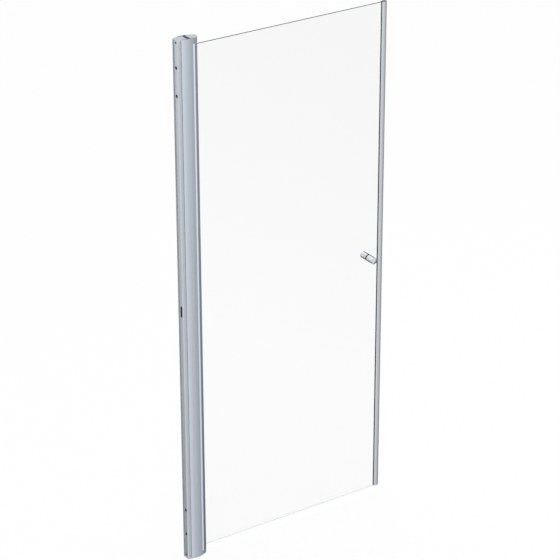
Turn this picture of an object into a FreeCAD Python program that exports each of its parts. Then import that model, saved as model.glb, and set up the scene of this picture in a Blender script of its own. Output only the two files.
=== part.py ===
import FreeCAD, Part
import math
import os

# Hinged shower door on a telescopic wall profile, in millimetres, +Z up.
# The origin is the foot of the wall plane, on the middle plane of the glass.
# +X runs from the wall to the closing edge, -Y is the room side and +Y the shower side.

vector = FreeCAD.Vector

# Overall sizes
profile_height = 2000.0
door_width = 864.0
glass_thickness = 6.0

# Wall profile: a channel that stands on the wall on two feet
wall_depth = 32.0
wall_reach = 36.8
wall_flange = 1.8
wall_web = 1.2
wall_recess = 3.5
front_foot = 4.4
front_foot_radius = 4.0
back_foot = 2.4
back_foot_radius = 2.0
wall_hole_radius = 6.0
wall_hole_distances = (100.0, 200.0)
wall_slot_width = 10.5
wall_slot_length = 43.0

# End caps of the wall profile, with a window behind the release hole in the web
cap_plate = 2.5
cap_plug_depth = 18.0
cap_wall = 1.6
cap_clearance = 0.15
release_radius = 4.25
release_distance = 12.0
release_room = 2.5

# Telescopic adjustment of the hinge profile on the wall profile
adjust_in = 6.0
adjust_out = 9.0
adjust_stop_gap = 0.7
slide_clearance = 0.3

# Hinge profile: two curved skirts joined by a web
skirt_start = 14.5
skirt_wall = 1.8
skirt_bulge = 3.4
skirt_setback = 7.0
hinge_web = 1.8
port_offset = 10.0
port_sink = 0.2

# Clamp screws through the shower-side skirt into nut plates behind the wall flange
clamp_count = 4
clamp_end_distance = 300.0
clamp_setback = 7.5
clamp_pad_width = 9.0
clamp_pad_height = 3.0
clamp_screw_radius = 2.0
clamp_head_radius = 3.8
clamp_head_height = 2.4
clamp_slot_play = 0.3
clamp_seat_play = 0.5
clamp_key_width = 2.5
clamp_key_depth = 1.4
nut_width = 14.0
nut_height = 12.0
nut_thickness = 3.0
clamp_screw_end = 1.0

# Pivot: a round profile that turns with the glass between two bearing blocks
pivot_wrap = 0.7
pivot_wall = 1.8
pivot_flat_cut = 2.0
pivot_flat_angle = 28.0
pivot_land_cut = 1.03
pivot_land_angle = 20.0
pivot_web_gap = 4.7
pin_radius = 3.0
pin_grip = 20.0
pin_end_gap = 0.5
plug_flange = 2.0
plug_depth = 24.0
plug_wall = 1.2
block_height = 12.0
head_drop = 5.5
cover_plate = 2.0
bush_wall = 2.0
bush_flange = 0.95
bush_flange_width = 2.5
running_clearance = 0.05
fit_clearance = 0.02
block_clearance = 0.1
block_screw_radius = 1.75
block_screw_head = 2.9
block_screw_grip = 14.0
screw_step = 8.0
block_key_width = 2.0
block_key_depth = 1.2

# Wiper strips that close the gap between the skirts and the pivot profile
wiper_width = 2.0
wiper_setback = 3.8
wiper_gap = 0.3
wiper_rib = 1.0

# Glass held in the pivot profile and in the closing profile
glass_end_setback = 13.0
glazing_gasket = 1.5
glass_arris = 0.6
closing_gasket = 1.3
closing_grip = 10.6
closing_wall = 1.5
closing_bulge = 1.9
closing_overhang = 1.0
closing_tip_half = 1.8
magnet_thickness = 2.0
magnet_end_gap = 30.0
magnet_side_gap = 0.2
closing_play = 0.6
seal_tip = 4.0
seal_head = 1.4
seal_head_half = 2.0
seal_stem_half = 1.0

# Drip strip clipped on the foot of the glass
drip_wall = 1.2
drip_clip = 8.0
drip_base = 2.0
drip_fin = 12.0
drip_pivot_gap = 3.0
drip_closing_gap = 1.0

# Knob through the glass
knob_height = 1000.0
knob_inset = 61.0
knob_radius = 12.5
knob_outer_length = 37.0
knob_inner_length = 36.0
knob_dome = 5.0
knob_round = 1.2
knob_gasket = 1.6
knob_hole_radius = 6.0
stud_radius = 3.0
stud_grip = 17.0
set_screw_radius = 2.0
set_screw_sink = 1.0
set_screw_key_width = 2.0
set_screw_key_depth = 2.0

# Length by which a cutting tool runs past the surface that it cuts
past = 1.0

# Places that follow from the sizes above
wall_half = wall_depth / 2
web_inside = wall_recess + wall_web
flange_inside = wall_half - wall_flange
skirt_inner = wall_half + slide_clearance
skirt_outer = skirt_inner + skirt_wall
pivot_radius = skirt_inner + pivot_wrap
hinge_web_start = wall_reach + adjust_in + adjust_stop_gap
hinge_web_end = hinge_web_start + hinge_web
pivot_x = hinge_web_end + pivot_web_gap + pivot_radius
skirt_end = pivot_x - skirt_setback
port_radius = block_screw_head + block_clearance + port_sink
port_x = hinge_web_end + port_radius - port_sink
clamp_x = skirt_start + clamp_setback
clamp_seat = skirt_inner + clamp_pad_height
clamp_pitch = (profile_height - 2 * clamp_end_distance) / (clamp_count - 1)
clamp_heights = [clamp_end_distance + i * clamp_pitch for i in range(clamp_count)]
block_top = cover_plate + block_height
head_block = block_top + head_drop
leaf_bottom = block_top + bush_flange + running_clearance
tube_bottom = leaf_bottom + plug_flange
bush_inner = pin_radius + running_clearance
bush_outer = bush_inner + bush_wall
glass_bottom = tube_bottom + glass_end_setback
glass_height = profile_height - 2 * glass_bottom
glass_top = glass_bottom + glass_height
glass_half = glass_thickness / 2
channel_half = glass_half + glazing_gasket
channel_floor = pivot_x + pin_radius + plug_wall + pivot_wall
glass_start = channel_floor + glazing_gasket
closing_half = glass_half + closing_gasket + closing_wall
closing_crown = closing_half + closing_bulge
closing_chamber = magnet_thickness + seal_head + closing_play
closing_width = closing_grip + closing_wall + closing_chamber + closing_wall + seal_tip
closing_start = door_width - closing_width
closing_floor = closing_start + closing_grip
chamber_start = closing_floor + closing_wall
chamber_end = chamber_start + closing_chamber
seal_start = chamber_end + closing_wall
glass_end = closing_floor - closing_gasket
knob_x = door_width - knob_inset
knob_face = glass_half + knob_gasket

# Height ranges
full = (0.0, profile_height)
wall_span = (cap_plate, profile_height - cap_plate)
tube_span = (tube_bottom, profile_height - tube_bottom - head_drop)
glass_span = (glass_bottom, glass_top)
closing_span = (glass_bottom - closing_overhang, glass_top + closing_overhang)


def grown(span):
    """A range lengthened at both ends so that a cut runs clean through."""
    return span[0] - past, span[1] + past


def both(half):
    """The range that reaches half to each side of the middle plane."""
    return -half, half


def box(x, y, z):
    """A block between three ranges."""
    corner = vector(x[0], y[0], z[0])
    return Part.makeBox(x[1] - x[0], y[1] - y[0], z[1] - z[0], corner)


def rod_x(radius, x, y, z):
    return Part.makeCylinder(radius, x[1] - x[0], vector(x[0], y, z), vector(1, 0, 0))


def rod_y(radius, x, y, z):
    return Part.makeCylinder(radius, y[1] - y[0], vector(x, y[0], z), vector(0, 1, 0))


def rod_z(radius, x, y, z):
    return Part.makeCylinder(radius, z[1] - z[0], vector(x, y, z[0]), vector(0, 0, 1))


def prism(edges, z):
    """A straight prism over a closed chain of edges that lies at the lower height."""
    return Part.Face(Part.Wire(edges)).extrude(vector(0, 0, z[1] - z[0]))


def line(start, end, z):
    return Part.makeLine(vector(*start, z), vector(*end, z))


def arc(start, middle, end, z):
    return Part.Arc(vector(*start, z), vector(*middle, z), vector(*end, z)).toShape()


def polygon(points, z):
    """A straight prism over a closed polygon of plan points."""
    ring = zip(points, points[1:] + points[:1])
    return prism([line(start, end, z[0]) for start, end in ring], z)


def key_socket(width, depth, mouth, inward):
    """A six-sided key socket, given across its flats, from just outside its mouth to its floor."""
    angles = [math.radians(60 * i) for i in range(7)]
    corner = width / math.sqrt(3)
    ring = [vector(corner * math.cos(a), corner * math.sin(a), -past) for a in angles]
    cutter = Part.Face(Part.makePolygon(ring)).extrude(vector(0, 0, depth + past))
    cutter.Placement = FreeCAD.Placement(vector(*mouth), FreeCAD.Rotation(vector(0, 0, 1), vector(*inward)))
    return cutter


def one(base, others):
    """One solid from touching or overlapping pieces, without seams in its flat faces."""
    return base.fuse(others).removeSplitter()


def upright_edges(shape, x, y):
    """The vertical edges of a shape at one place in plan."""
    found = []
    for edge in shape.Edges:
        ends = [vertex.Point for vertex in edge.Vertexes]
        placed = all(abs(p.x - x) < fit_clearance and abs(p.y - y) < fit_clearance for p in ends)
        if placed and abs(ends[0].z - ends[-1].z) > past:
            found.append(edge)
    return found


def flipped(shape):
    """The same piece for the top end."""
    return shape.mirror(vector(0, 0, profile_height / 2), vector(0, 0, 1))


def save(name, *solids):
    shape = solids[0] if len(solids) == 1 else Part.makeCompound(solids)
    shape.exportStep(f"parts/{name}.step")


def wall_section(z):
    """The wall profile's outer outline as a solid, with its two feet rounded."""
    block = box((0, wall_reach), both(wall_half), z)
    block = block.makeFillet(front_foot_radius, upright_edges(block, 0, -wall_half))
    return block.makeFillet(back_foot_radius, upright_edges(block, 0, wall_half))


def clamp_slot(z, through):
    """The slot in a flange that a clamp screw moves along: two round ends and the stretch between."""
    half = clamp_screw_radius + clamp_slot_play
    x = (clamp_x - adjust_in, clamp_x + adjust_out)
    ends = [rod_y(half, end, through, z) for end in x]
    return ends[0].fuse([ends[1], box(x, through, (z - half, z + half))])


def wall_profile():
    body = wall_section(wall_span)
    body = body.cut(box((web_inside, wall_reach + past), both(flange_inside), grown(wall_span)))
    between_feet = (front_foot - wall_half, wall_half - back_foot)
    body = body.cut(box((-past, wall_recess), between_feet, grown(wall_span)))
    through_web = (wall_recess - past, web_inside + past)
    cuts = []
    for distance in wall_hole_distances:
        for z in (distance, profile_height - distance):
            cuts.append(rod_x(wall_hole_radius, through_web, 0, z))
    for z in (release_distance, profile_height - release_distance):
        cuts.append(rod_x(release_radius, through_web, 0, z))
    slot_half = wall_slot_width / 2
    slot_reach = wall_slot_length / 2 - slot_half
    slot_middle = profile_height / 2
    for z in (slot_middle - slot_reach, slot_middle + slot_reach):
        cuts.append(rod_x(slot_half, through_web, 0, z))
    cuts.append(box(through_web, both(slot_half), (slot_middle - slot_reach, slot_middle + slot_reach)))
    through_flange = (flange_inside - past, wall_half + past)
    for z in clamp_heights:
        cuts.append(clamp_slot(z, through_flange))
    return body.cut(cuts)


def wall_cap():
    """The lower end cap: a plate over the profile's end and a hollow plug inside the channel."""
    plate = wall_section((0, cap_plate))
    plug_x = (web_inside + cap_clearance, wall_reach)
    plug_half = flange_inside - cap_clearance
    plug = box(plug_x, both(plug_half), (cap_plate, cap_plate + cap_plug_depth))
    hollow_x = (plug_x[0] + cap_wall, plug_x[1] - cap_wall)
    hollow = box(hollow_x, both(plug_half - cap_wall), (cap_plate, cap_plate + cap_plug_depth + past))
    room = release_radius + release_room
    window_z = (release_distance - room, release_distance + room)
    window = box((plug_x[0] - past, hollow_x[0] + past), both(room), window_z)
    return one(plate, [plug.cut(hollow).cut(window)])


def lens(half_edge, z):
    """A prism between the room-side and shower-side skirt curves, at one half depth at their edges."""
    middle = (skirt_start + skirt_end) / 2
    crown = half_edge + skirt_bulge
    front = arc((skirt_start, -half_edge), (middle, -crown), (skirt_end, -half_edge), z[0])
    right = line((skirt_end, -half_edge), (skirt_end, half_edge), z[0])
    back = arc((skirt_end, half_edge), (middle, crown), (skirt_start, half_edge), z[0])
    left = line((skirt_start, half_edge), (skirt_start, -half_edge), z[0])
    return prism([front, right, back, left], z)


def wiper_range():
    end = skirt_end - wiper_setback
    return end - wiper_width, end


def hinge_profile():
    outline = lens(skirt_outer, full)
    hollow = lens(skirt_inner, full)
    deep = skirt_outer + skirt_bulge + past
    added = [box((hinge_web_start, hinge_web_end), both(deep), full).common(outline)]
    rib_zone = hollow.cut(lens(skirt_inner - wiper_rib, full))
    wiper = wiper_range()
    rib_ranges = [
        (wiper[0] - block_clearance - wiper_rib, wiper[0] - block_clearance),
        (wiper[1] + block_clearance, wiper[1] + block_clearance + wiper_rib),
    ]
    pad_x = (clamp_x - clamp_pad_width / 2, clamp_x + clamp_pad_width / 2)
    for side in (-1, 1):
        inward = sorted((side * skirt_inner, side * deep))
        added.append(box(pad_x, inward, full).common(outline))
        added.append(rod_z(port_radius, port_x, side * port_offset, full))
        for rib in rib_ranges:
            added.append(box(rib, sorted((0, side * deep)), full).common(rib_zone))
    body = one(outline.cut(hollow), added)
    cuts = []
    for side in (-1, 1):
        hole = block_screw_radius + fit_clearance
        cuts.append(rod_z(hole, port_x, side * port_offset, grown(full)))
    for end in ((-past, block_top), (profile_height - head_block, profile_height + past)):
        cuts.append(lens(skirt_inner, end).common(box((hinge_web_start, skirt_end), both(deep), end)))
    for z in clamp_heights:
        cuts.append(rod_y(clamp_screw_radius + block_clearance, clamp_x, (flange_inside, deep), z))
        cuts.append(rod_y(clamp_head_radius + clamp_seat_play, clamp_x, (clamp_seat, deep), z))
    return body.cut(cuts)


def pivot_bar(inset, z):
    """The pivot profile's outline, or one set inside it: a round with two flats on each side."""
    radius = pivot_radius - inset
    bar = rod_z(radius, pivot_x, 0, z)
    for angle, cut in ((pivot_flat_angle, pivot_flat_cut), (-pivot_land_angle, pivot_land_cut)):
        for turn in (-angle, angle - 180):
            slab = box((pivot_x - radius, pivot_x + radius), (radius - cut, radius + past), grown(z))
            slab.rotate(vector(pivot_x, 0, 0), vector(0, 0, 1), turn)
            bar = bar.cut(slab)
    return bar


def block_plan(z):
    """The bearing block's outline: it fills the end of the skirts and carries the pivot's nose on."""
    deep = skirt_outer + skirt_bulge
    inside = lens(skirt_inner - block_clearance, z)
    inside = inside.common(box((hinge_web_end + block_clearance, skirt_end), both(deep), z))
    return one(inside, [pivot_bar(0, z)])


def low_step(z):
    """The space over the block's low step, beside the web, that holds the screw heads."""
    return box((hinge_web_end, port_x + port_radius), both(skirt_outer + skirt_bulge), z)


def block_cover():
    """The cover on the lower bearing block, up to its low step."""
    z = (0, cover_plate)
    return block_plan(z).cut(low_step(grown(z)))


def screw_cone(y, room):
    """A countersunk head, or its seat with some room, from the face of the low step."""
    height = block_screw_head - block_screw_radius
    base = vector(port_x, y, cover_plate + screw_step)
    return Part.makeCone(block_screw_head + room, block_screw_radius + room, height, base)


def bearing_block(end):
    """A lower bearing block, up to a height, with a bore for the bush and a low step for its screws."""
    z = (cover_plate, end)
    body = block_plan(z).cut(rod_z(bush_outer + fit_clearance, pivot_x, 0, grown(z)))
    body = body.cut(low_step((cover_plate - past, cover_plate + screw_step)))
    for side in (-1, 1):
        y = side * port_offset
        hole = rod_z(block_screw_radius + block_clearance, port_x, y, grown(z))
        body = body.cut([hole, screw_cone(y, fit_clearance)])
    return body


def block_screws(end):
    """The pair of countersunk screws of a lower bearing block."""
    made = []
    face = cover_plate + screw_step
    for side in (-1, 1):
        y = side * port_offset
        shank = rod_z(block_screw_radius, port_x, y, (face, end + block_screw_grip))
        socket = key_socket(block_key_width, block_key_depth, (port_x, y, face), (0, 0, 1))
        made.append(one(screw_cone(y, 0), [shank]).cut(socket))
    return made


def pivot_bush(end):
    sleeve = rod_z(bush_outer, pivot_x, 0, (cover_plate, end))
    flange = rod_z(bush_outer + bush_flange_width, pivot_x, 0, (end, end + bush_flange))
    bore = rod_z(bush_inner, pivot_x, 0, grown((cover_plate, end + bush_flange)))
    return one(sleeve, [flange]).cut(bore)


def pivot_pin(start):
    """A lower pin: from inside the bearing block, up into the plug from a height."""
    return rod_z(pin_radius, pivot_x, 0, (cover_plate + pin_end_gap, start + pin_grip))


def pivot_wipers():
    """A soft strip on each side, between two ribs of the skirt, up to the pivot profile."""
    z = (block_top, profile_height - head_block)
    zone = lens(skirt_inner - fit_clearance, z)
    zone = zone.cut(rod_z(pivot_radius + wiper_gap, pivot_x, 0, grown(z)))
    reach = skirt_outer + skirt_bulge
    ranges = ((-reach, -pivot_radius / 2), (pivot_radius / 2, reach))
    return [box(wiper_range(), y, z).common(zone) for y in ranges]


def clamp_screw(z):
    head_end = clamp_seat + clamp_head_height
    head = rod_y(clamp_head_radius, clamp_x, (clamp_seat, head_end), z)
    socket = key_socket(clamp_key_width, clamp_key_depth, (clamp_x, head_end, z), (0, -1, 0))
    shank_start = flange_inside - running_clearance - nut_thickness - clamp_screw_end
    shank = rod_y(clamp_screw_radius, clamp_x, (shank_start, clamp_seat), z)
    return one(head, [shank]).cut(socket)


def clamp_nut(z):
    nut_end = flange_inside - running_clearance
    x = (clamp_x - nut_width / 2, clamp_x + nut_width / 2)
    y = (nut_end - nut_thickness, nut_end)
    plate = box(x, y, (z - nut_height / 2, z + nut_height / 2))
    return plate.cut(rod_y(clamp_screw_radius + fit_clearance, clamp_x, grown(y), z))


def pivot_profile():
    tube = pivot_bar(0, tube_span)
    hollow = pivot_bar(pivot_wall, grown(tube_span))
    reach = pivot_x + pivot_radius + past
    outside = channel_half + pivot_wall
    channel_walls = box((channel_floor - pivot_wall, reach), both(outside), grown(tube_span))
    channel = box((channel_floor, reach), both(channel_half), grown(tube_span))
    return tube.cut(hollow.cut(channel_walls)).cut(channel)


def pivot_plug(start):
    """A lower plug: a flange over the profile's end and a body in its hollow."""
    flange_z = (start, start + plug_flange)
    flange = pivot_bar(0, flange_z)
    body_z = (flange_z[1], flange_z[1] + plug_depth)
    body = pivot_bar(pivot_wall + block_clearance, body_z)
    flat = channel_floor - pivot_wall - block_clearance
    body = body.cut(box((flat, pivot_x + pivot_radius), both(pivot_radius), grown(body_z)))
    bore_z = (start - past, start + pin_grip)
    return one(flange, [body]).cut(rod_z(pin_radius + fit_clearance, pivot_x, 0, bore_z))


def glazing_strip():
    nose = rod_z(pivot_radius, pivot_x, 0, tube_span)
    reach = pivot_x + pivot_radius + past
    filled = box((channel_floor, reach), both(channel_half), tube_span).common(nose)
    return filled.cut(box((glass_start, reach), both(glass_half), grown(tube_span)))


def glass_panel():
    pane = box((glass_start, glass_end), both(glass_half), glass_span)
    long_edges = []
    for edge in pane.Edges:
        ends = [vertex.Point for vertex in edge.Vertexes]
        if abs(ends[0].x - ends[1].x) > past:
            long_edges.append(edge)
    pane = pane.makeChamfer(glass_arris, long_edges)
    return pane.cut(rod_y(knob_hole_radius, knob_x, grown(both(glass_half)), knob_height))


def curve_radius(rise, run):
    """Radius of a curve that rises by some height over a run and ends level."""
    return (run ** 2 + rise ** 2) / (2 * rise)


def closing_depth(x):
    """Half depth of the closing edge at a distance from the wall: highest at the end of the glass grip."""
    if x < closing_floor:
        radius = curve_radius(closing_bulge, closing_grip)
    else:
        radius = curve_radius(closing_crown - closing_tip_half, door_width - closing_floor)
    return closing_crown - radius + math.sqrt(radius ** 2 - (x - closing_floor) ** 2)


def closing_outline(z):
    """The whole closing edge: sides that swell over the glass, then two curves down to a narrow tip."""
    places = [closing_start, (closing_start + closing_floor) / 2, closing_floor]
    places += [(closing_floor + door_width) / 2, door_width]
    front = [(x, -closing_depth(x)) for x in places]
    back = [(x, -y) for x, y in reversed(front)]
    foot = z[0]
    edges = [
        arc(front[0], front[1], front[2], foot),
        arc(front[2], front[3], front[4], foot),
        line(front[4], back[0], foot),
        arc(back[0], back[1], back[2], foot),
        arc(back[2], back[3], back[4], foot),
        line(back[4], front[0], foot),
    ]
    return prism(edges, z)


def closing_profile():
    outline = closing_outline(closing_span)
    body = outline.common(box((closing_start, seal_start), both(closing_crown), closing_span))
    through = grown(closing_span)
    channel = box((closing_start - past, closing_floor), both(closing_half - closing_wall), through)
    near = closing_depth(chamber_start) - closing_wall
    far = closing_depth(chamber_end) - closing_wall
    corners = [(chamber_start, -near), (chamber_end, -far), (chamber_end, far), (chamber_start, near)]
    slit = box((chamber_end, seal_start + past), both(seal_stem_half + running_clearance), through)
    return body.cut([channel, polygon(corners, through), slit])


def closing_strip():
    """The channel of gasket between the glass and the closing profile."""
    inner = closing_half - closing_wall
    filled = box((closing_start, closing_floor), both(inner), glass_span)
    return filled.cut(box((closing_start - past, glass_end), both(glass_half), grown(glass_span)))


def closing_seal():
    outline = closing_outline(closing_span)
    tip = outline.common(box((seal_start, door_width), both(closing_crown), closing_span))
    stem = box((chamber_end, seal_start), both(seal_stem_half), closing_span)
    head_x = (chamber_end - seal_head, chamber_end)
    head = box(head_x, both(seal_head_half), closing_span)
    return one(tip, [stem, head])


def magnet_strip():
    end = chamber_start + magnet_thickness
    half = closing_depth(end) - closing_wall - magnet_side_gap
    z = (glass_bottom + magnet_end_gap, glass_top - magnet_end_gap)
    return box((chamber_start, end), both(half), z)


def drip_strip():
    """A clear clip along the foot of the glass, with a thin fin below it."""
    x = (pivot_x + pivot_radius + drip_pivot_gap, closing_start - drip_closing_gap)
    base = glass_bottom - drip_base
    clip = box(x, both(glass_half + drip_wall), (base, glass_bottom + drip_clip))
    clip = clip.cut(box(grown(x), both(glass_half), (glass_bottom, glass_bottom + drip_clip + past)))
    fin = box(x, both(drip_wall / 2), (base - drip_fin, base))
    return one(clip, [fin])


def knob_half(length):
    """One half of the knob on the shower side of the glass, with a domed end and a soft rim."""
    end = knob_face + length
    rim_y = end - knob_dome
    ball_radius = curve_radius(knob_dome, knob_radius)
    ball = Part.makeSphere(ball_radius, vector(knob_x, end - ball_radius, knob_height))
    dome = rod_y(knob_radius, knob_x, (rim_y, end), knob_height).common(ball)
    body = one(rod_y(knob_radius, knob_x, (knob_face, rim_y), knob_height), [dome])
    rim = []
    for edge in body.Edges:
        if all(abs(vertex.Point.y - rim_y) < fit_clearance for vertex in edge.Vertexes):
            rim.append(edge)
    body = body.makeFillet(knob_round, rim)
    return body.cut(rod_y(stud_radius + fit_clearance, knob_x, (0, glass_half + stud_grip), knob_height))


def knob_outer():
    return knob_half(knob_outer_length).mirror(vector(0, 0, 0), vector(0, 1, 0))


def set_screw_place():
    """Depth of the set screw's axis: the middle of the stud's grip in the inner half."""
    return (knob_face + glass_half + stud_grip) / 2


def knob_inner():
    below = (knob_height - knob_radius - past, knob_height)
    hole = rod_z(set_screw_radius + fit_clearance, knob_x, set_screw_place(), below)
    return knob_half(knob_inner_length).cut(hole)


def knob_set_screw():
    y = set_screw_place()
    foot = knob_height - knob_radius + set_screw_sink
    body = rod_z(set_screw_radius, knob_x, y, (foot, knob_height - stud_radius - fit_clearance))
    return body.cut(key_socket(set_screw_key_width, set_screw_key_depth, (knob_x, y, foot), (0, 0, 1)))


def knob_stud():
    return rod_y(stud_radius, knob_x, both(glass_half + stud_grip), knob_height)


def knob_bush():
    sleeve = rod_y(knob_hole_radius - fit_clearance, knob_x, both(glass_half), knob_height)
    return sleeve.cut(rod_y(stud_radius + fit_clearance, knob_x, grown(both(glass_half)), knob_height))


def knob_washer(side):
    y = sorted((side * glass_half, side * knob_face))
    disc = rod_y(knob_radius, knob_x, y, knob_height)
    return disc.cut(rod_y(stud_radius + fit_clearance, knob_x, grown(y), knob_height))


os.makedirs("parts", exist_ok=True)

# Fixed to the wall
save("wall_profile", wall_profile())
save("wall_cap_bottom", wall_cap())
save("wall_cap_top", flipped(wall_cap()))

# Slides on the wall profile and is then clamped
save("hinge_profile", hinge_profile())
save("bearing_block_bottom", bearing_block(block_top))
save("bearing_block_top", flipped(bearing_block(head_block)))
save("block_cover_bottom", block_cover())
save("block_cover_top", flipped(block_cover()))
save("block_screws", *block_screws(block_top), *[flipped(screw) for screw in block_screws(head_block)])
save("pivot_bush_bottom", pivot_bush(block_top))
save("pivot_bush_top", flipped(pivot_bush(head_block)))
save("pivot_wipers", *pivot_wipers())
save("clamp_screws", *[clamp_screw(z) for z in clamp_heights])
save("clamp_nuts", *[clamp_nut(z) for z in clamp_heights])

# Swings with the glass
save("pivot_profile", pivot_profile())
save("pivot_plug_bottom", pivot_plug(leaf_bottom))
save("pivot_plug_top", flipped(pivot_plug(leaf_bottom + head_drop)))
save("pivot_pin_bottom", pivot_pin(leaf_bottom))
save("pivot_pin_top", flipped(pivot_pin(leaf_bottom + head_drop)))
save("glazing_gasket", glazing_strip())
save("glass_panel", glass_panel())
save("closing_gasket", closing_strip())
save("closing_profile", closing_profile())
save("closing_seal", closing_seal())
save("magnet_strip", magnet_strip())
save("drip_strip", drip_strip())
save("knob_outer", knob_outer())
save("knob_inner", knob_inner())
save("knob_stud", knob_stud())
save("knob_bush", knob_bush())
save("knob_gasket_outer", knob_washer(-1))
save("knob_gasket_inner", knob_washer(1))
save("knob_set_screw", knob_set_screw())
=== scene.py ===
import math

import bmesh
import bpy
from mathutils import Matrix, Vector


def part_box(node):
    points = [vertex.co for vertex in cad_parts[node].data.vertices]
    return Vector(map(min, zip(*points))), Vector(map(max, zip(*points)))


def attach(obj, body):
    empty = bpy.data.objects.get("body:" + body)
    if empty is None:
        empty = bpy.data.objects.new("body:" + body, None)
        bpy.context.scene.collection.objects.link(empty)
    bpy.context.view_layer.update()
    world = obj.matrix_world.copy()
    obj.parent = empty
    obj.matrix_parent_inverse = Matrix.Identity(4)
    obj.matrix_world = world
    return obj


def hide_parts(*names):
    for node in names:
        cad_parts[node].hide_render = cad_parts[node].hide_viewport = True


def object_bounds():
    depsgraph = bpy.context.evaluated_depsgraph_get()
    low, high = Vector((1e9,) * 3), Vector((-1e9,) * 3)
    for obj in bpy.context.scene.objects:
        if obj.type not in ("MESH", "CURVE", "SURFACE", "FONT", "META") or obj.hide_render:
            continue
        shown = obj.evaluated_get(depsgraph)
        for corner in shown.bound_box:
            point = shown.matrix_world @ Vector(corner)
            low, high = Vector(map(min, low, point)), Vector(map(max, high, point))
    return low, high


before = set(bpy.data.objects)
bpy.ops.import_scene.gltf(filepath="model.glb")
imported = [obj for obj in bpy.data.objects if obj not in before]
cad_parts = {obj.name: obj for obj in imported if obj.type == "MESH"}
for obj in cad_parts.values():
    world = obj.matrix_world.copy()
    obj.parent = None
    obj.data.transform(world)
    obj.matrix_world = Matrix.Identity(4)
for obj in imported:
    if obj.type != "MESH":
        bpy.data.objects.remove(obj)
cad_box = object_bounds()

bl_info = {
    "name": "Shower Door",
    "version": (1, 0, 0),
    "blender": (4, 5, 0),
    "location": "View3D > Sidebar > Shower Door",
    "description": "Finishes, glass, soft seals and studio of a hinged shower door",
    "category": "Object",
}

MM = 0.001

# Points of a new piece that lie closer together than this become one.
MERGE_DISTANCE = 0.005 * MM

# Room for rounding in a test on the place of an edge.
SLACK = 0.1 * MM

# Two directions count as one from this cosine on, and an edge counts as sharp from this angle on.
ALIGNED = 0.99
SHARP_ANGLE = math.radians(20)

# Steps of a rounded edge and of a plain chamfer.
ROUND_STEPS = 3
CHAMFER_STEPS = 1

# The values between which nearly all of a noise pattern lies.
NOISE_LOW = 0.3
NOISE_HIGH = 0.7

# How far the roughness of moulded plastic and of rubber strays to either side.
SPARK_SPREAD = 0.06
BLOOM_SPREAD = 0.07

# Cover and tone of the dust on rubber.
DUST_COVER = 0.12
DUST_TONE = 0.10

# The mirrors that a ray has met are counted in whole numbers, so this parts none from one.
HALF_A_MIRROR = 0.5

# Width of the camera's sensor in millimetres.
SENSOR_WIDTH = 36

PROFILES = {
    "hinge_aluminium": ("hinge_profile", "pivot_profile"),
    "wall_aluminium": ("wall_profile",),
    "closing_aluminium": ("closing_profile",),
}
CAPS = ("wall_cap_bottom", "wall_cap_top", "block_cover_bottom", "block_cover_top")
BLOCKS = ("bearing_block_bottom", "bearing_block_top")
NYLON = ("pivot_bush_bottom", "pivot_bush_top", "pivot_plug_bottom", "pivot_plug_top", "knob_bush")
STEEL = (
    "block_screws", "clamp_screws", "clamp_nuts", "pivot_pin_bottom", "pivot_pin_top",
    "knob_stud", "knob_set_screw",
)
KNOB = ("knob_outer", "knob_inner")
KNOB_WASHERS = ("knob_gasket_outer", "knob_gasket_inner")

# Level of the low room light, by bearing in degrees from the room side towards the closing edge.
ROUND_LIGHT = (
    (-180, 0.25), (-165, 0.45), (-152, 1.0), (-44, 1.0), (-39, 0.36), (-29, 0.36), (-24, 1.0),
    (-20, 1.3), (-11, 1.3), (-4, 1.0), (4, 0.97), (24, 0.80), (56, 0.62), (80, 0.46), (90, 0.44),
    (105, 0.34), (125, 0.18), (146, 0.10), (170, 0.15), (180, 0.25),
)

# Share of the back light by bearing.
BACK_SHARE = ((-180, 1), (-138, 1), (-116, 0), (60, 0), (86, 1), (180, 1))

# Share of the dark card that stands behind the door at the closing side, by bearing.
CARD_SHARE = ((-180, 0), (110, 0), (130, 1), (162, 1), (178, 0), (180, 0))

# Level of the low light before the door by the height of its direction.
FRONT_LIGHT = ((-0.60, 0.80), (-0.52, 0.86), (-0.475, 0.92), (-0.35, 0.99), (-0.33, 1.0))

# Level of the light behind the door by the height of its direction.
BACK_LIGHT = ((-0.72, 0.06), (-0.60, 0.20), (-0.38, 0.79), (-0.30, 0.90))

# Heights above the horizon, as parts of a direction of length one, between which the high light takes over.
HORIZON_EDGE = (-0.16, 0.10)

# Heights of a direction between which the bright strip above and behind the door begins.
OVERHEAD_EDGE = (0.50, 0.60)


def colour(name, description, default):
    return bpy.props.FloatVectorProperty(
        name=name, description=description, default=default, subtype="COLOR", size=3, min=0, max=1
    )


def length(name, description, default):
    return bpy.props.FloatProperty(
        name=name, description=description, default=default, min=0, unit="LENGTH", precision=5
    )


def share(name, description, default):
    return bpy.props.FloatProperty(
        name=name, description=description, default=default, min=0, max=1, subtype="FACTOR"
    )


def place(name, description, default):
    return bpy.props.FloatVectorProperty(
        name=name, description=description, default=default, subtype="XYZ", size=3, unit="LENGTH", precision=6
    )


def angle(name, description, degrees):
    return bpy.props.FloatProperty(
        name=name, description=description, default=math.radians(degrees), subtype="ANGLE"
    )


def power(name, description, default):
    return bpy.props.FloatProperty(name=name, description=description, default=default, unit="POWER")


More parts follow.
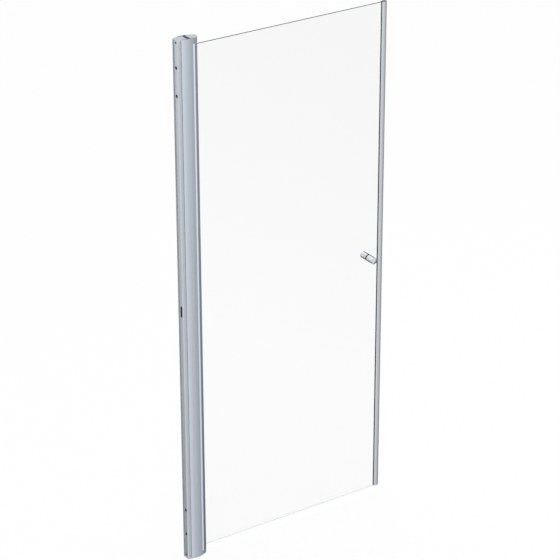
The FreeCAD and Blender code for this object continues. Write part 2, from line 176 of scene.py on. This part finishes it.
class ShowerDoorMetal(bpy.types.PropertyGroup):
    hinge_aluminium: colour("Hinge profiles", "Anodised hinge and pivot profiles", (0.640, 0.695, 0.780))
    wall_aluminium: colour("Wall profile", "Anodised wall profile", (0.652, 0.697, 0.743))
    closing_aluminium: colour("Closing profile", "Anodised closing profile", (0.680, 0.720, 0.765))
    streak_depth: share("Streak depth", "Tone of the drawn streaks against the rest", 0.95)
    streak_width: length("Streak width", "Width of a drawn streak", 7 * MM)
    streak_length: length("Streak length", "Length of a drawn streak", 0.909)
    aluminium_smooth: share("Smoothest", "Roughness of the glossiest lines of the brushing", 0.20)
    aluminium_rough: share("Roughest", "Roughness of the dullest lines of the brushing", 0.28)
    grain_width: length("Grain width", "Width of a line of the brushing", 0.6 * MM)
    grain_length: length("Grain length", "Length of a line of the brushing", 0.2)
    chrome: colour("Chrome", "Plated knob", (0.73, 0.75, 0.78))
    steel: colour("Steel", "Screws, nuts, pins and stud", (0.60, 0.60, 0.61))


class ShowerDoorPlastic(bpy.types.PropertyGroup):
    cap: colour("Caps", "Moulded end caps and block covers", (0.58, 0.59, 0.62))
    block: colour("Blocks", "Lacquered bearing blocks", (0.36, 0.38, 0.41))
    nylon: colour("Nylon", "Bushes and plugs", (0.34, 0.35, 0.37))
    spark: length("Spark grain", "Size of the mould's spark grain", 0.35 * MM)


class ShowerDoorGlass(bpy.types.PropertyGroup):
    tint: colour("Pane", "Tint of the clear pane", (0.990, 1.0, 0.995))
    # Painted shade: the pane's tint is drawn deeper towards its upper free corner, standing in for the darker
    # light that the glass shows there. The lean, start and end below place that painted shade.
    painted_shade: colour("Painted shade", "Tint at the upper free corner of the pane", (0.947, 0.957, 0.951))
    shade_lean: share("Shade lean", "Height that a metre away from the wall counts for", 0.5)
    shade_start: length("Shade start", "Height, with the lean, at which the tint begins to deepen", 0.95)
    shade_end: length("Shade end", "Height, with the lean, at which the tint is deepest", 2.2)
    # Painted shade: the edge tone is near black, standing in for the dark look that light gives the pane's
    # edge.
    edge: colour("Edge", "Ground edge of the pane", (0.10, 0.105, 0.105))
    arris: length("Arris", "Width taken off the long edges", 0.6 * MM)
    hole: length("Knob hole", "Radius of the hole for the knob", 6 * MM)
    hole_steps: bpy.props.IntProperty(
        name="Hole steps", description="Sides of the knob hole", default=48, min=12
    )


class ShowerDoorSeals(bpy.types.PropertyGroup):
    rubber: colour("Rubber", "Glazing and closing gaskets", (0.075, 0.077, 0.082))
    washer: colour("Washer", "Washers under the knob", (0.022, 0.022, 0.025))
    pile: colour("Pile", "Pile of the wiper strips", (0.10, 0.10, 0.105))
    magnet: colour("Magnet", "Bonded magnet strip", (0.045, 0.042, 0.042))
    lip: colour("Lip", "Soft lip of the closing edge", (0.10, 0.102, 0.108))
    clear: colour("Clear strip", "Clear drip strip", (0.99, 0.995, 0.995))
    rounding: length("Rounding", "Radius on the lips of the seals", 0.35 * MM)
    head: length("Lip head", "Length of the head that holds the closing lip", 1.4 * MM)
    head_half: length("Lip head half", "Half the width of that head", 2.0 * MM)
    stem: length("Lip stem", "Length of the stem between the head and the lip", 1.5 * MM)
    stem_half: length("Lip stem half", "Half the width of that stem", 1.0 * MM)
    tip_half: length("Lip tip half", "Half the width of the lip's tip", 1.8 * MM)
    swell: length("Lip swell", "Rise of the lip's sides above a straight line", 0.2 * MM)
    groove: length("Groove", "Depth of the groove in the lip's tip", 0.5 * MM)
    groove_half: length("Groove half", "Half the width of that groove", 0.7 * MM)
    strip_base: length("Strip base", "Depth of the drip strip's base below the pane", 2.0 * MM)
    strip_gap: length("Strip gap", "Room between the drip strip and the pane", 0.1 * MM)
    strip_taper: length("Strip taper", "Height over which the drip strip's arms taper", 3.0 * MM)
    strip_top: length("Strip top", "Thickness of those arms at the top", 0.4 * MM)
    fin_half: length("Fin half", "Half the thickness of the drip strip's fin", 0.6 * MM)
    neck_half: length("Neck half", "Half the thickness of the fin above its bead", 0.35 * MM)


class ShowerDoorStage(bpy.types.PropertyGroup):
    floor: colour("Floor", "Pale floor", (0.90, 0.90, 0.90))
    floor_reach: length("Floor reach", "Half the side of the floor", 30.0)
    floor_gap: length("Floor gap", "Room between the foot of the door and the floor", 0.5 * MM)
    floor_glow: share("Floor white", "Share of plain white in the floor as seen", 0.90)
    high_light: share("High light", "Level of the light above the horizon", 0.88)
    overhead_light: share("Overhead light", "Level that the strip above and behind the door adds", 0.30)
    back_rise: share("Back rise", "Height of the horizon behind the door", 0.16)
    card_rise: share("Card rise", "Height of the dark card above that horizon", 0.30)
    lamp_target: place("Lamp target", "Place that both lamps face", (0.4, 0, 1.0))
    key_place: place("Key place", "Place of the soft key lamp", (-2.6, -4.2, 4.4))
    key_side: length("Key side", "Side of the soft key lamp", 2.6)
    key_power: power("Key", "Power of the soft key lamp", 60.0)
    fill_place: place("Fill place", "Place of the soft fill lamp", (3.6, -2.6, 3.4))
    fill_side: length("Fill side", "Side of the soft fill lamp", 2.2)
    fill_power: power("Fill", "Power of the soft fill lamp", 25.0)
    camera_place: place("Camera", "Place of the camera", (-3.786244, -6.267277, 4.610313))
    camera_azimuth: angle("Azimuth", "Turn of the camera round the door", -33.839)
    camera_elevation: angle("Elevation", "Height of the camera's view above the horizon", 25.489)
    camera_roll: angle("Roll", "Turn about the line of sight", -0.111)
    camera_lens: bpy.props.FloatProperty(
        name="Lens", description="Focal length on a 36 mm sensor", default=151.007, unit="CAMERA"
    )


def fresh(name):
    """A new material with its node tree and its main shader."""
    material = bpy.data.materials.new(name)
    material.use_nodes = True
    tree = material.node_tree
    return material, tree, tree.nodes["Principled BSDF"]


def split(tree, vector):
    """The three parts of a vector."""
    node = tree.nodes.new("ShaderNodeSeparateXYZ")
    tree.links.new(vector, node.inputs["Vector"])
    return node.outputs


def calculated(tree, operation, *values):
    """The result of one step of arithmetic on numbers and sockets."""
    node = tree.nodes.new("ShaderNodeMath")
    node.operation = operation
    for socket, value in zip(node.inputs, values):
        if isinstance(value, (int, float)):
            socket.default_value = value
        else:
            tree.links.new(value, socket)
    return node.outputs["Value"]


def mixed(tree, factor, first, second):
    """A value from the first to the second by a factor."""
    return calculated(tree, "MULTIPLY_ADD", factor, calculated(tree, "SUBTRACT", second, first), first)


def ranged(tree, value, start, end, low=0, high=1, soft=False):
    """A value carried from one range to another."""
    node = tree.nodes.new("ShaderNodeMapRange")
    node.interpolation_type = "SMOOTHSTEP" if soft else "LINEAR"
    for socket, number in zip(node.inputs[1:5], (start, end, low, high)):
        socket.default_value = number
    tree.links.new(value, node.inputs["Value"])
    return node.outputs["Result"]


def levels(tree, value, stops):
    """A level that follows a value through a list of stops, each a value and its level."""
    first, last = stops[0][0], stops[-1][0]
    ramp = tree.nodes.new("ShaderNodeValToRGB")
    ramp.color_ramp.interpolation = "LINEAR"
    marks = ramp.color_ramp.elements
    for index, (stop, level) in enumerate(stops):
        position = (stop - first) / (last - first)
        mark = marks[0] if index == 0 else marks[-1] if index == len(stops) - 1 else marks.new(position)
        mark.position = position
        mark.color = (level, level, level, 1)
    tree.links.new(ranged(tree, value, first, last), ramp.inputs["Fac"])
    return ramp.outputs["Color"]


def noise(tree, cells, detail):
    """Noise in object coordinates, given by its cells to the metre along each axis."""
    mapping = tree.nodes.new("ShaderNodeMapping")
    mapping.inputs["Scale"].default_value = cells
    tree.links.new(tree.nodes.new("ShaderNodeTexCoord").outputs["Object"], mapping.inputs["Vector"])
    texture = tree.nodes.new("ShaderNodeTexNoise")
    texture.inputs["Scale"].default_value = 1
    texture.inputs["Detail"].default_value = detail
    tree.links.new(mapping.outputs["Vector"], texture.inputs["Vector"])
    return texture.outputs["Fac"]


def between(tree, pattern, low, high):
    """A noise pattern spread from low to high."""
    return ranged(tree, pattern, NOISE_LOW, NOISE_HIGH, low, high)


def blended(tree, factor, first, second):
    """A colour from the first to the second by a factor."""
    mix = tree.nodes.new("ShaderNodeMix")
    mix.data_type = "RGBA"
    colours = [socket for socket in mix.inputs if socket.type == "RGBA"]
    colours[0].default_value = (*first, 1)
    colours[1].default_value = (*second, 1)
    tree.links.new(factor, mix.inputs["Factor"])
    return next(socket for socket in mix.outputs if socket.type == "RGBA")


def shaded(tree, factor, first, second):
    """A surface from the first to the second by a factor."""
    mix = tree.nodes.new("ShaderNodeMixShader")
    for socket, source in zip(mix.inputs, (factor, first, second)):
        tree.links.new(source, socket)
    return mix.outputs["Shader"]


def toned(tree, shader, pattern, first, second):
    """Colours a surface from the first tone to the second by a noise pattern."""
    tone = blended(tree, between(tree, pattern, 0, 1), first, second)
    tree.links.new(tone, shader.inputs["Base Color"])


def roughened(tree, shader, pattern, smooth, rough):
    """Makes a surface smooth to rough by a noise pattern."""
    tree.links.new(between(tree, pattern, smooth, rough), shader.inputs["Roughness"])


def raised(tree, shader, pattern, depth, strength):
    """Gives a surface the relief of a noise pattern."""
    bump = tree.nodes.new("ShaderNodeBump")
    bump.inputs["Strength"].default_value = strength
    bump.inputs["Distance"].default_value = depth
    tree.links.new(pattern, bump.inputs["Height"])
    tree.links.new(bump.outputs["Normal"], shader.inputs["Normal"])


def darker(tone, to):
    """A tone darkened to a share of itself."""
    return tuple(part * to for part in tone)


def dusted(tone):
    """A tone under a thin cover of dust."""
    return tuple((1 - DUST_COVER) * part + DUST_COVER * DUST_TONE for part in tone)


def mirrored(tree):
    """One for a ray that has met a mirror, and nothing before that."""
    path = tree.nodes.new("ShaderNodeLightPath")
    return calculated(tree, "GREATER_THAN", path.outputs["Glossy Depth"], HALF_A_MIRROR)


def seen_directly(tree):
    """One for what the camera sees, plain or through glass, and nothing for reflections."""
    path = tree.nodes.new("ShaderNodeLightPath")
    seen = calculated(tree, "MAXIMUM", path.outputs["Is Camera Ray"], path.outputs["Is Transmission Ray"])
    return calculated(tree, "MULTIPLY", seen, calculated(tree, "SUBTRACT", 1, mirrored(tree)))


def brushed_aluminium(name, tone, metal):
    """Satin anodised aluminium, drawn along its length: long soft streaks and a fine brushing."""
    material, tree, shader = fresh(name)
    shader.inputs["Metallic"].default_value = 1
    across, along = 1 / metal.streak_width, 1 / metal.streak_length
    streaks = noise(tree, cells=(across, across, along), detail=3)
    toned(tree, shader, streaks, darker(tone, metal.streak_depth), tone)
    across, along = 1 / metal.grain_width, 1 / metal.grain_length
    brushing = noise(tree, cells=(across, across, along), detail=4)
    roughened(tree, shader, brushing, metal.aluminium_smooth, metal.aluminium_rough)
    raised(tree, shader, brushing, depth=0.02 * MM, strength=0.25)
    return material


def moulded(name, tone, grain, rough):
    """Moulded plastic with the fine grain of a spark-eroded mould."""
    material, tree, shader = fresh(name)
    cloud = noise(tree, cells=(60, 60, 60), detail=2)
    toned(tree, shader, cloud, darker(tone, to=0.95), tone)
    sparks = noise(tree, cells=(1 / grain, 1 / grain, 1 / grain), detail=3)
    roughened(tree, shader, sparks, rough - SPARK_SPREAD, rough + SPARK_SPREAD)
    raised(tree, shader, sparks, depth=0.03 * MM, strength=0.3)
    return material


def lacquered(tone):
    """Grey lacquer on die-cast metal, with a faint orange peel."""
    material, tree, shader = fresh("grey_die_cast")
    shader.inputs["Metallic"].default_value = 0.5
    peel = noise(tree, cells=(420, 420, 420), detail=1)
    toned(tree, shader, peel, darker(tone, to=0.94), tone)
    roughened(tree, shader, peel, smooth=0.32, rough=0.42)
    raised(tree, shader, peel, depth=0.05 * MM, strength=0.2)
    return material


def turned_steel(tone):
    """Stainless steel with close tool marks."""
    material, tree, shader = fresh("stainless_steel")
    shader.inputs["Metallic"].default_value = 1
    marks = noise(tree, cells=(900, 2600, 2600), detail=3)
    toned(tree, shader, marks, darker(tone, to=0.86), tone)
    roughened(tree, shader, marks, smooth=0.24, rough=0.36)
    raised(tree, shader, marks, depth=0.01 * MM, strength=0.3)
    return material


def plated_chrome(tone):
    """Bright plating with a faint haze from wiping."""
    material, tree, shader = fresh("polished_chrome")
    shader.inputs["Metallic"].default_value = 1
    haze = noise(tree, cells=(120, 120, 120), detail=5)
    toned(tree, shader, haze, darker(tone, to=0.96), tone)
    roughened(tree, shader, haze, smooth=0.05, rough=0.12)
    return material


def extruded_rubber(name, tone, rough):
    """Extruded rubber with faint draw lines and a dusty bloom."""
    material, tree, shader = fresh(name)
    bloom = noise(tree, cells=(45, 45, 18), detail=4)
    toned(tree, shader, bloom, tone, dusted(tone))
    roughened(tree, shader, bloom, rough - BLOOM_SPREAD, rough + BLOOM_SPREAD)
    lines = noise(tree, cells=(2200, 2200, 6), detail=2)
    raised(tree, shader, lines, depth=0.03 * MM, strength=0.35)
    return material


def wiper_pile(tone):
    """Short dense pile: fine hairs that stand across the strip."""
    material, tree, shader = fresh("wiper_pile")
    hairs = noise(tree, cells=(500, 500, 4200), detail=3)
    toned(tree, shader, hairs, darker(tone, to=0.55), tone)
    shader.inputs["Roughness"].default_value = 0.9
    raised(tree, shader, hairs, depth=0.2 * MM, strength=0.6)
    return material


def clear_pane(glass):
    """Clear float glass, with painted shade that deepens its tone towards its upper free corner."""
    material, tree, shader = fresh("clear_glass")
    across, _, height = split(tree, tree.nodes.new("ShaderNodeTexCoord").outputs["Object"])
    rise = calculated(tree, "MULTIPLY_ADD", across, glass.shade_lean, height)
    # Share of the painted shade, from none at the start height to full at the end height, with the lean.
    depth = ranged(tree, rise, glass.shade_start, glass.shade_end)
    tree.links.new(blended(tree, depth, glass.tint, glass.painted_shade), shader.inputs["Base Color"])
    shader.inputs["Transmission Weight"].default_value = 1
    shader.inputs["Roughness"].default_value = 0
    shader.inputs["IOR"].default_value = 1.5
    return material


def ground_edge_with_painted_shade(tone):
    """The seamed edge of the pane, dull from the grinding belt, with a near-black tone that is painted shade
    for the dark look that light gives a glass edge.
    """
    material, tree, shader = fresh("ground_glass_edge")
    belt = noise(tree, cells=(260, 2400, 260), detail=3)
    toned(tree, shader, belt, darker(tone, to=0.88), tone)
    roughened(tree, shader, belt, smooth=0.42, rough=0.6)
    raised(tree, shader, belt, depth=0.02 * MM, strength=0.25)
    return material


def clear_strip(tint):
    """Flexible clear plastic, a little cloudy along its draw lines."""
    material, tree, shader = fresh("clear_plastic")
    shader.inputs["Base Color"].default_value = (*tint, 1)
    shader.inputs["Transmission Weight"].default_value = 1
    shader.inputs["IOR"].default_value = 1.05
    cloud = noise(tree, cells=(5, 900, 900), detail=2)
    roughened(tree, shader, cloud, smooth=0.02, rough=0.10)
    return material


def pale_floor(stage):
    """A floor that is nearly plain white where the camera sees it, and that no mirror shows."""
    material, tree, shader = fresh("pale_floor")
    shader.inputs["Base Color"].default_value = (*stage.floor, 1)
    shader.inputs["Roughness"].default_value = 0.9
    white = tree.nodes.new("ShaderNodeEmission").outputs["Emission"]
    glow = calculated(tree, "MULTIPLY", seen_directly(tree), stage.floor_glow)
    seen = shaded(tree, glow, shader.outputs["BSDF"], white)
    unseen = tree.nodes.new("ShaderNodeBsdfTransparent").outputs["BSDF"]
    surface = shaded(tree, mirrored(tree), seen, unseen)
    tree.links.new(surface, tree.nodes["Material Output"].inputs["Surface"])
    return material


def finish(names, material):
    """Gives CAD nodes a finish in place of their plain one."""
    for name in names:
        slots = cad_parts[name].data.materials
        slots.clear()
        slots.append(material)


def meshed(name, shape, materials):
    """Turns a finished bmesh into an object of the scene."""
    mesh = bpy.data.meshes.new(name)
    shape.to_mesh(mesh)
    shape.free()
    for material in materials:
        mesh.materials.append(material)
    piece = bpy.data.objects.new(name, mesh)
    bpy.context.scene.collection.objects.link(piece)
    return piece


def placed(name, shape, materials, body, node):
    """Turns a bmesh into a piece that rides on a body and stands for a CAD node."""
    bmesh.ops.remove_doubles(shape, verts=shape.verts, dist=MERGE_DISTANCE)
    bmesh.ops.recalc_face_normals(shape, faces=shape.faces)
    piece = meshed(name, shape, materials)
    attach(piece, body)
    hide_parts(node)
    return piece


def pulled(shape, faces, reach):
    """Draws flat faces out into a solid."""
    grown = bmesh.ops.extrude_face_region(shape, geom=faces)
    moved = [item for item in grown["geom"] if isinstance(item, bmesh.types.BMVert)]
    bmesh.ops.translate(shape, verts=moved, vec=reach)
    bmesh.ops.recalc_face_normals(shape, faces=shape.faces)


def softened(shape, direction, chosen, width, steps):
    """Takes off the sharp edges along a direction that a test on their middle point chooses."""
    edges = []
    for edge in shape.edges:
        start, end = (vertex.co for vertex in edge.verts)
        lies_along = abs((end - start).normalized().dot(direction)) > ALIGNED
        if lies_along and edge.calc_face_angle() > SHARP_ANGLE and chosen((start + end) / 2):
            edges.append(edge)
    bmesh.ops.bevel(
        shape, geom=edges, offset=width, offset_type="OFFSET", segments=steps, profile=0.5,
        affect="EDGES", clamp_overlap=True, material=-1,
    )


def drawn(outline, reach, radius, chosen):
    """A strip of one section, given as points in its plane, with its chosen long edges rounded."""
    shape = bmesh.new()
    section = shape.faces.new([shape.verts.new(point) for point in outline])
    pulled(shape, [section], reach)
    softened(shape, reach.normalized(), chosen, radius, ROUND_STEPS)
    return shape


def upright(outline, low, high, radius, chosen):
    """A strip that stands upright on an outline in plan."""
    reach = Vector((0, 0, high.z - low.z))
    return drawn([(x, y, low.z) for x, y in outline], reach, radius, chosen)


def whole(half):
    """An outline from one half of it, each point given along the middle line and away from it."""
    return half + [(along, -away) for along, away in reversed(half)]


class SHOWERDOOR_OT_profiles(bpy.types.Operator):
    """Finish the four aluminium profiles"""
    bl_idname = "shower_door.profiles"
    bl_label = "Aluminium Profiles"

    def execute(self, context):
        metal = context.scene.shower_door_metal
        for name, nodes in PROFILES.items():
            finish(nodes, brushed_aluminium(name, getattr(metal, name), metal))
        return {"FINISHED"}


class SHOWERDOOR_OT_caps(bpy.types.Operator):
    """Finish the end caps, the bearing blocks with their covers, the bushes and the plugs"""
    bl_idname = "shower_door.caps"
    bl_label = "Caps and Bearing Blocks"

    def execute(self, context):
        plastic = context.scene.shower_door_plastic
        finish(CAPS, moulded("light_grey_plastic", plastic.cap, plastic.spark, rough=0.42))
        finish(NYLON, moulded("grey_nylon", plastic.nylon, plastic.spark, rough=0.52))
        finish(BLOCKS, lacquered(plastic.block))
        return {"FINISHED"}


class SHOWERDOOR_OT_fasteners(bpy.types.Operator):
    """Finish the screws, nuts, pins and stud"""
    bl_idname = "shower_door.fasteners"
    bl_label = "Screws and Pins"

    def execute(self, context):
        finish(STEEL, turned_steel(context.scene.shower_door_metal.steel))
        return {"FINISHED"}


class SHOWERDOOR_OT_knob(bpy.types.Operator):
    """Finish the two halves of the knob and the washers under them"""
    bl_idname = "shower_door.knob"
    bl_label = "Knob"

    def execute(self, context):
        washer = context.scene.shower_door_seals.washer
        finish(KNOB, plated_chrome(context.scene.shower_door_metal.chrome))
        finish(KNOB_WASHERS, extruded_rubber("black_rubber", washer, rough=0.6))
        return {"FINISHED"}


class SHOWERDOOR_OT_pane(bpy.types.Operator):
    """Make the glass pane with its ground edges and its knob hole"""
    bl_idname = "shower_door.pane"
    bl_label = "Glass Pane"

    def execute(self, context):
        glass = context.scene.shower_door_glass
        low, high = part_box("glass_panel")
        stud_low, stud_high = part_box("knob_stud")
        middle = (stud_low + stud_high) / 2
        shape = bmesh.new()
        corners = ((low.x, low.z), (high.x, low.z), (high.x, high.z), (low.x, high.z))
        ring = [shape.verts.new((x, low.y, z)) for x, z in corners]
        for start, end in zip(ring, ring[1:] + ring[:1]):
            shape.edges.new((start, end))
        hole_place = Matrix.Translation((middle.x, low.y, middle.z)) @ Matrix.Rotation(math.pi / 2, 4, "X")
        bmesh.ops.create_circle(shape, segments=glass.hole_steps, radius=glass.hole, matrix=hole_place)
        filled = bmesh.ops.triangle_fill(shape, use_beauty=True, use_dissolve=False, edges=shape.edges[:])
        faces = [item for item in filled["geom"] if isinstance(item, bmesh.types.BMFace)]
        pulled(shape, faces, Vector((0, high.y - low.y, 0)))

        def at_top_or_foot(point):
            return point.z > high.z - SLACK or point.z < low.z + SLACK

        softened(shape, Vector((1, 0, 0)), at_top_or_foot, glass.arris, CHAMFER_STEPS)
        shape.normal_update()
        # The ground edge with its painted shade goes on every face except the two broad ones and the foot.
        # The edge at the foot stays clear glass, with no painted shade.
        for face in shape.faces:
            at_foot = face.calc_center_median().z < low.z + 2 * glass.arris
            face.material_index = 0 if at_foot or abs(face.normal.y) > ALIGNED else 1
        materials = (clear_pane(glass), ground_edge_with_painted_shade(glass.edge))
        pane = placed("glass_pane", shape, materials, "door_leaf", "glass_panel")
        pane.visible_shadow = False
        return {"FINISHED"}


class SHOWERDOOR_OT_gaskets(bpy.types.Operator):
    """Make the rubber gaskets that hold the pane in its two profiles"""
    bl_idname = "shower_door.gaskets"
    bl_label = "Glazing Gaskets"

    def execute(self, context):
        seals = context.scene.shower_door_seals
        rubber = extruded_rubber("dark_grey_rubber", seals.rubber, rough=0.62)
        pane_low, pane_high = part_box("glass_panel")

        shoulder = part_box("pivot_profile")[1].x
        low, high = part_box("glazing_gasket")
        outline = [
            (low.x, low.y), (shoulder, low.y), (high.x, pane_low.y), (pane_low.x, pane_low.y),
            (pane_low.x, pane_high.y), (high.x, pane_high.y), (shoulder, high.y), (low.x, high.y),
        ]
        shape = upright(outline, low, high, seals.rounding, lambda point: point.x > shoulder - SLACK)
        placed("glazing_bead", shape, [rubber], "door_leaf", "glazing_gasket")

        low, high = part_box("closing_gasket")
        outline = [
            (low.x, low.y), (high.x, low.y), (high.x, high.y), (low.x, high.y),
            (low.x, pane_high.y), (pane_high.x, pane_high.y), (pane_high.x, pane_low.y), (low.x, pane_low.y),
        ]
        shape = upright(outline, low, high, seals.rounding, lambda point: point.x < low.x + SLACK)
        placed("closing_bead", shape, [rubber], "door_leaf", "closing_gasket")
        return {"FINISHED"}


class SHOWERDOOR_OT_closing_edge(bpy.types.Operator):
    """Make the soft lip of the closing edge and finish its magnet strip"""
    bl_idname = "shower_door.closing_edge"
    bl_label = "Closing Lip and Magnet"

    def execute(self, context):
        seals = context.scene.shower_door_seals
        low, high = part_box("closing_seal")
        head = low.x + seals.head
        shoulder = head + seals.stem
        bend = (shoulder + high.x) / 2
        bend_half = (high.y + seals.tip_half) / 2 + seals.swell
        half = [
            (low.x, seals.head_half), (head, seals.head_half), (head, seals.stem_half),
            (shoulder, seals.stem_half), (shoulder, high.y), (bend, bend_half), (high.x, seals.tip_half),
            (high.x, seals.groove_half), (high.x - seals.groove, seals.groove_half),
        ]
        shape = upright(whole(half), low, high, seals.rounding, lambda point: point.x > shoulder + SLACK)
        lip = extruded_rubber("closing_lip", seals.lip, rough=0.5)
        placed("closing_lip", shape, [lip], "door_leaf", "closing_seal")
        finish(["magnet_strip"], extruded_rubber("magnet_rubber", seals.magnet, rough=0.7))
        return {"FINISHED"}


class SHOWERDOOR_OT_strips(bpy.types.Operator):
    """Make the clear drip strip and finish the wiper strips"""
    bl_idname = "shower_door.strips"
    bl_label = "Drip and Wiper Strips"

    def execute(self, context):
        seals = context.scene.shower_door_seals
        low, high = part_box("drip_strip")
        pane_low, pane_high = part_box("glass_panel")
        base = pane_low.z - seals.strip_base
        seat = pane_low.z - seals.strip_gap
        inner = pane_high.y + seals.strip_gap
        bead = low.z + 2 * seals.fin_half
        half = [
            (low.z, seals.fin_half), (bead, seals.fin_half), (bead + seals.fin_half, seals.neck_half),
            (base, seals.fin_half), (base, high.y), (high.z - seals.strip_taper, high.y),
            (high.z, inner + seals.strip_top), (high.z, inner), (seat, inner),
        ]

        def outside_or_on_bead(point):
            return abs(point.y) > inner + SLACK or point.z < bead + SLACK

        reach = Vector((high.x - low.x, 0, 0))
        shape = drawn([(low.x, y, z) for z, y in whole(half)], reach, seals.rounding, outside_or_on_bead)
        clear = clear_strip(seals.clear)
        strip = placed("drip_seal", shape, [clear], "door_leaf", "drip_strip")
        strip.visible_shadow = False
        finish(["pivot_wipers"], wiper_pile(seals.pile))
        return {"FINISHED"}


def soft_lamp(name, where, target, side, watts):
    """A square lamp that faces a target and that no mirror shows."""
    lamp = bpy.data.lights.new(name, "AREA")
    lamp.shape = "SQUARE"
    lamp.size = side
    lamp.energy = watts
    holder = bpy.data.objects.new(name, lamp)
    holder.visible_glossy = False
    holder.location = where
    holder.rotation_mode = "QUATERNION"
    holder.rotation_quaternion = (Vector(target) - Vector(where)).to_track_quat("-Z", "Y")
    bpy.context.scene.collection.objects.link(holder)


def bearing(turn, rise):
    """A direction given by its turn from the room side and its rise, as angles."""
    return Vector((math.sin(turn) * math.cos(rise), -math.cos(turn) * math.cos(rise), math.sin(rise)))


class SHOWERDOOR_OT_stage(bpy.types.Operator):
    """Make the pale floor, the soft room light, the lamps and the camera"""
    bl_idname = "shower_door.stage"
    bl_label = "Stage"

    def execute(self, context):
        scene = context.scene
        stage = scene.shower_door_stage
        self.floor(stage)
        self.room_light(scene, stage)
        soft_lamp("key_lamp", stage.key_place, stage.lamp_target, stage.key_side, stage.key_power)
        soft_lamp("fill_lamp", stage.fill_place, stage.lamp_target, stage.fill_side, stage.fill_power)
        self.camera(scene, stage)
        scene.view_settings.view_transform = "Standard"
        return {"FINISHED"}

    def floor(self, stage):
        """A wide flat floor just under the foot of the door."""
        shape = bmesh.new()
        bmesh.ops.create_grid(shape, x_segments=1, y_segments=1, size=stage.floor_reach)
        bmesh.ops.translate(shape, verts=shape.verts, vec=(0, 0, cad_box[0].z - stage.floor_gap))
        floor = meshed("floor", shape, [pale_floor(stage)])

    def room_light(self, scene, stage):
        """Soft light all round, full from the room side, less at the closing edge and low behind the door."""
        world = bpy.data.worlds.new("studio")
        scene.world = world
        world.use_nodes = True
        tree = world.node_tree
        across, depth, height = split(tree, tree.nodes.new("ShaderNodeTexCoord").outputs["Generated"])
        turn = calculated(tree, "ARCTAN2", across, calculated(tree, "MULTIPLY", depth, -1))
        degrees = calculated(tree, "DEGREES", turn)
        behind = levels(tree, degrees, BACK_SHARE)
        card = levels(tree, degrees, CARD_SHARE)
        by_height = mixed(tree, behind, levels(tree, height, FRONT_LIGHT), levels(tree, height, BACK_LIGHT))
        low = calculated(tree, "MULTIPLY", levels(tree, degrees, ROUND_LIGHT), by_height)
        horizon = calculated(tree, "MULTIPLY", behind, stage.back_rise)
        horizon = calculated(tree, "MULTIPLY_ADD", card, stage.card_rise, horizon)
        above = calculated(tree, "SUBTRACT", height, horizon)
        lit = mixed(tree, ranged(tree, above, *HORIZON_EDGE, soft=True), low, stage.high_light)
        overhead = calculated(tree, "MULTIPLY", behind, ranged(tree, height, *OVERHEAD_EDGE, soft=True))
        lit = calculated(tree, "MULTIPLY_ADD", overhead, stage.overhead_light, lit)
        strength = calculated(tree, "MAXIMUM", lit, seen_directly(tree))
        tree.links.new(strength, tree.nodes["Background"].inputs["Strength"])
        tree.nodes["Background"].inputs["Color"].default_value = (1, 1, 1, 1)

    def camera(self, scene, stage):
        """The camera, fitted to the view in the photograph."""
        back = bearing(stage.camera_azimuth, stage.camera_elevation)
        right = Vector((math.cos(stage.camera_azimuth), math.sin(stage.camera_azimuth), 0))
        turn = Matrix((right, back.cross(right), back)).transposed().to_4x4()
        roll = Matrix.Rotation(stage.camera_roll, 4, "Z")
        lens = bpy.data.cameras.new("camera")
        lens.lens = stage.camera_lens
        lens.sensor_width = SENSOR_WIDTH
        camera = bpy.data.objects.new("camera", lens)
        camera.matrix_world = Matrix.Translation(stage.camera_place) @ turn @ roll
        scene.collection.objects.link(camera)
        scene.camera = camera


class SHOWERDOOR_PT_panel(bpy.types.Panel):
    """The door's pieces and finishes in the sidebar"""
    bl_idname = "SHOWERDOOR_PT_panel"
    bl_label = "Shower Door"
    bl_space_type = "VIEW_3D"
    bl_region_type = "UI"
    bl_category = "Shower Door"

    def draw(self, context):
        for name, group in GROUPS.items():
            box = self.layout.box()
            for field in group.__annotations__:
                box.prop(getattr(context.scene, name), field)
        for operator in OPERATORS:
            self.layout.operator(operator.bl_idname)


GROUPS = {
    "shower_door_metal": ShowerDoorMetal,
    "shower_door_plastic": ShowerDoorPlastic,
    "shower_door_glass": ShowerDoorGlass,
    "shower_door_seals": ShowerDoorSeals,
    "shower_door_stage": ShowerDoorStage,
}
OPERATORS = (
    SHOWERDOOR_OT_stage,
    SHOWERDOOR_OT_profiles,
    SHOWERDOOR_OT_caps,
    SHOWERDOOR_OT_fasteners,
    SHOWERDOOR_OT_knob,
    SHOWERDOOR_OT_pane,
    SHOWERDOOR_OT_gaskets,
    SHOWERDOOR_OT_closing_edge,
    SHOWERDOOR_OT_strips,
)


def register():
    for group in GROUPS.values():
        bpy.utils.register_class(group)
    for name, group in GROUPS.items():
        setattr(bpy.types.Scene, name, bpy.props.PointerProperty(type=group))
    for operator in OPERATORS:
        bpy.utils.register_class(operator)
    bpy.utils.register_class(SHOWERDOOR_PT_panel)


def unregister():
    bpy.utils.unregister_class(SHOWERDOOR_PT_panel)
    for operator in reversed(OPERATORS):
        bpy.utils.unregister_class(operator)
    for name in GROUPS:
        delattr(bpy.types.Scene, name)
    for group in reversed(list(GROUPS.values())):
        bpy.utils.unregister_class(group)


def main():
    register()
    bpy.ops.shower_door.stage()
    bpy.ops.shower_door.profiles()
    bpy.ops.shower_door.caps()
    bpy.ops.shower_door.fasteners()
    bpy.ops.shower_door.knob()
    bpy.ops.shower_door.pane()
    bpy.ops.shower_door.gaskets()
    bpy.ops.shower_door.closing_edge()
    bpy.ops.shower_door.strips()


if __name__ == "__main__":
    main()
